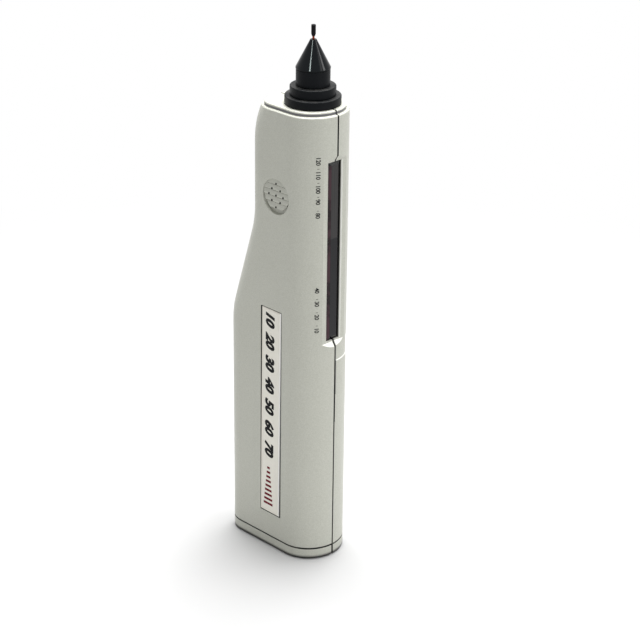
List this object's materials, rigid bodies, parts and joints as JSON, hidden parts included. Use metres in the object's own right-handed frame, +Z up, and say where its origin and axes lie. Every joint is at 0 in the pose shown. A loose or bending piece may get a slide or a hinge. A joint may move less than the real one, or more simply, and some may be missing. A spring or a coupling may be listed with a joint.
{
  "type": "diamond tester",
  "caption": "Handheld tester with a slim two-piece housing, lamps behind a long front window, a sprung pin probe on top, a side button and a sliding battery door.",
  "frame": {"origin": "middle of the underside that the tester stands on", "axes": "+Z up along the housing to the probe, -Y towards the front with the window, X through the thickness with the label on the -X side"},
  "size_m": [0.0228, 0.0404, 0.1815],
  "materials": {
    "shell": "warm grey paint, fine orange peel",
    "door": "warm grey paint, fine orange peel",
    "lens": "dark smoked plastic with bevelled edges",
    "mask": "matte black",
    "board": "green lacquer",
    "lamp": "milky lamp bodies",
    "label": "printed film",
    "foam": "dark foam",
    "buzzer": "black moulding",
    "fastener": "zinc plated",
    "chip": "black moulding with tinned legs",
    "capacitor": "printed sleeve with bare top",
    "trimmer": "blue moulding",
    "socket": "white moulding",
    "switch": "black moulding",
    "plunger": "pale moulding",
    "button": "satin dark moulding",
    "contact": "polished plate",
    "pin": "turned, bright",
    "battery": "printed sleeve",
    "terminal": "nickel plated",
    "snap": "black vinyl",
    "probe": "satin black",
    "cone": "glossy black",
    "nut": "plain",
    "copper": "copper, slightly dulled",
    "guard": "satin black",
    "heater": "off-white sleeve",
    "spring": "spring wire",
    "lead": "insulated wire"
  },
  "bodies": {
    "root": {"left_shell": "shell", "right_shell": "shell", "window_lens": "lens", "light_mask": "mask", "lamp_board": "board", "lamp_row": "lamp", "label_plate": "label", "buzzer_gasket": "foam", "buzzer": "buzzer", "main_board": "board", "board_screws": "fastener", "control_chip": "chip", "amplifier_chip": "chip", "capacitors": "capacitor", "trimmer": "trimmer", "board_sockets": "socket", "switch_body": "switch", "touch_contact": "contact", "contact_pin": "pin", "battery": "battery", "battery_terminals": "terminal", "battery_snap": "snap", "battery_pad": "foam", "housing_screws": "fastener", "probe_flange": "probe", "probe_collar": "probe", "probe_shank": "probe", "nose_cone": "cone", "probe_nut": "nut", "probe_spring": "spring", "pin_guide": "nut", "battery_leads": "lead", "probe_leads": "lead"},
    "battery_door": {"battery_door": "door"},
    "power_key": {"power_button": "button", "switch_plunger": "plunger"},
    "probe_tip": {"probe_pin": "copper", "probe_heater": "heater"},
    "tip_guard": {"tip_guard": "guard"}
  },
  "joints": [
    {"name": "door_slide", "type": "slide", "parent": "root", "child": "battery_door", "axis": [0, 0, -1], "range_m": [0, 0.058]},
    {"name": "power_press", "type": "slide", "parent": "root", "child": "power_key", "axis": [-1, 0, 0], "range_m": [0, 0.0006], "stiffness_N_per_m": 1500, "springref_m": -0.0005},
    {"name": "probe_plunge", "type": "slide", "parent": "root", "child": "probe_tip", "axis": [0, 0, -1], "range_m": [0, 0.0008], "stiffness_N_per_m": 400, "springref_m": -0.002, "deforming": ["probe_spring"]},
    {"name": "guard_slide", "type": "slide", "parent": "probe_tip", "child": "tip_guard", "axis": [0, 0, 1], "range_m": [0, 0.008]}
  ]
}
